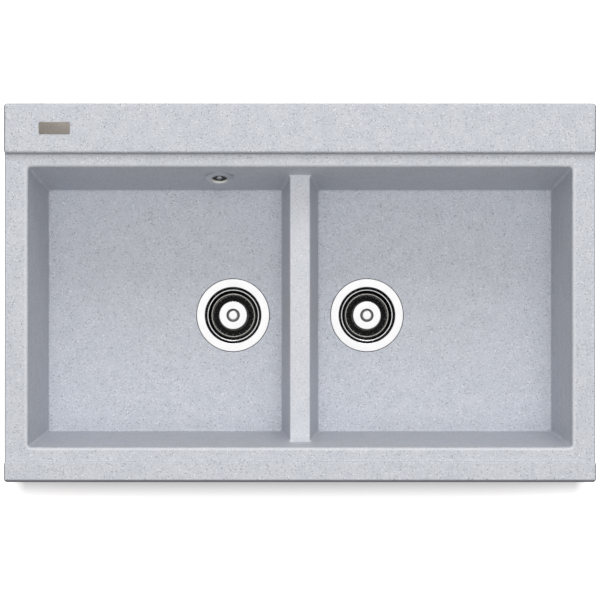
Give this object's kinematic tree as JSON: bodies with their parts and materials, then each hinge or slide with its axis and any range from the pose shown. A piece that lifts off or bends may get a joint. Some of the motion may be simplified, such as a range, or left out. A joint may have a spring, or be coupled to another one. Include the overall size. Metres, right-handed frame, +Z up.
{
  "type": "double bowl granite sink",
  "caption": "Inset kitchen sink of granite composite with two bowls, a low divider, basket strainers, overflow, trap and mounting clamps.",
  "frame": {"origin": "middle of the sink's plan, on the worktop's top face, where the rim rests", "axes": "+X to the right along the long side, +Y to the back with the raised deck, +Z up"},
  "size_m": [0.86, 0.55, 0.4399],
  "materials": {
    "granite": "matt, fine dark and white specks",
    "plate": "satin, warm grey",
    "polished_steel": "polished stainless steel",
    "steel": "satin, zinc plated",
    "black_rubber": "matt",
    "grey_foam": "matt foam tape",
    "white_plastic": "semi-matt polypropylene",
    "grey_hose": "semi-matt",
    "brass": "turned"
  },
  "bodies": {
    "sink": {"clamp_inserts": "brass", "clamp_screws": "steel", "deck_badge": "plate", "hose_clips": "steel", "left_centre_screw": "polished_steel", "left_cup_gasket": "black_rubber", "left_cup_nut": "brass", "left_flange_gasket": "black_rubber", "left_strainer_well": "polished_steel", "left_waste_cup": "white_plastic", "overflow_elbow": "white_plastic", "overflow_gasket": "black_rubber", "overflow_hose": "grey_hose", "overflow_rosette": "polished_steel", "overflow_screw": "polished_steel", "right_centre_screw": "polished_steel", "right_cup_gasket": "black_rubber", "right_cup_nut": "brass", "right_flange_gasket": "black_rubber", "right_strainer_well": "polished_steel", "right_waste_cup": "white_plastic", "rim_seal": "grey_foam", "sink_body": "granite", "slip_nuts": "white_plastic", "slip_washers": "black_rubber", "trap_body": "white_plastic", "trap_cup": "white_plastic", "trap_cup_seal": "black_rubber", "trap_dip_tube": "white_plastic", "trap_outlet_pipe": "white_plastic", "waste_tee": "white_plastic"},
    "left_basket": {"left_basket_cup": "polished_steel", "left_basket_cap": "polished_steel", "left_basket_sleeve": "polished_steel", "left_basket_stem": "polished_steel", "left_basket_knob": "polished_steel", "left_basket_seal": "black_rubber"},
    "right_basket": {"right_basket_cup": "polished_steel", "right_basket_cap": "polished_steel", "right_basket_sleeve": "polished_steel", "right_basket_stem": "polished_steel", "right_basket_knob": "polished_steel", "right_basket_seal": "black_rubber"},
    "clamp_back_1": {"clamp_arm_back_1": "steel"},
    "clamp_back_2": {"clamp_arm_back_2": "steel"},
    "clamp_back_3": {"clamp_arm_back_3": "steel"},
    "clamp_back_4": {"clamp_arm_back_4": "steel"},
    "clamp_front_1": {"clamp_arm_front_1": "steel"},
    "clamp_front_2": {"clamp_arm_front_2": "steel"},
    "clamp_front_3": {"clamp_arm_front_3": "steel"},
    "clamp_front_4": {"clamp_arm_front_4": "steel"}
  },
  "joints": [
    {"name": "left_basket_lift", "type": "slide", "parent": "sink", "child": "left_basket", "axis": [0, 0, 1], "range_m": [0, 0.06]},
    {"name": "right_basket_lift", "type": "slide", "parent": "sink", "child": "right_basket", "axis": [0, 0, 1], "range_m": [0, 0.06]},
    {"name": "clamp_back_1_turn", "type": "hinge", "parent": "sink", "child": "clamp_back_1", "pos_m": [-0.34, 0.245, -0.0375], "axis": [0, 0, -1], "range_deg": [0, 90]},
    {"name": "clamp_back_2_turn", "type": "hinge", "parent": "sink", "child": "clamp_back_2", "pos_m": [-0.19, 0.245, -0.0375], "axis": [0, 0, -1], "range_deg": [0, 90]},
    {"name": "clamp_back_3_turn", "type": "hinge", "parent": "sink", "child": "clamp_back_3", "pos_m": [0.19, 0.245, -0.0375], "axis": [0, 0, 1], "range_deg": [0, 90]},
    {"name": "clamp_back_4_turn", "type": "hinge", "parent": "sink", "child": "clamp_back_4", "pos_m": [0.34, 0.245, -0.0375], "axis": [0, 0, 1], "range_deg": [0, 90]},
    {"name": "clamp_front_1_turn", "type": "hinge", "parent": "sink", "child": "clamp_front_1", "pos_m": [-0.34, -0.24875, -0.0375], "axis": [0, 0, 1], "range_deg": [0, 90]},
    {"name": "clamp_front_2_turn", "type": "hinge", "parent": "sink", "child": "clamp_front_2", "pos_m": [-0.19, -0.24875, -0.0375], "axis": [0, 0, 1], "range_deg": [0, 90]},
    {"name": "clamp_front_3_turn", "type": "hinge", "parent": "sink", "child": "clamp_front_3", "pos_m": [0.19, -0.24875, -0.0375], "axis": [0, 0, -1], "range_deg": [0, 90]},
    {"name": "clamp_front_4_turn", "type": "hinge", "parent": "sink", "child": "clamp_front_4", "pos_m": [0.34, -0.24875, -0.0375], "axis": [0, 0, -1], "range_deg": [0, 90]}
  ]
}
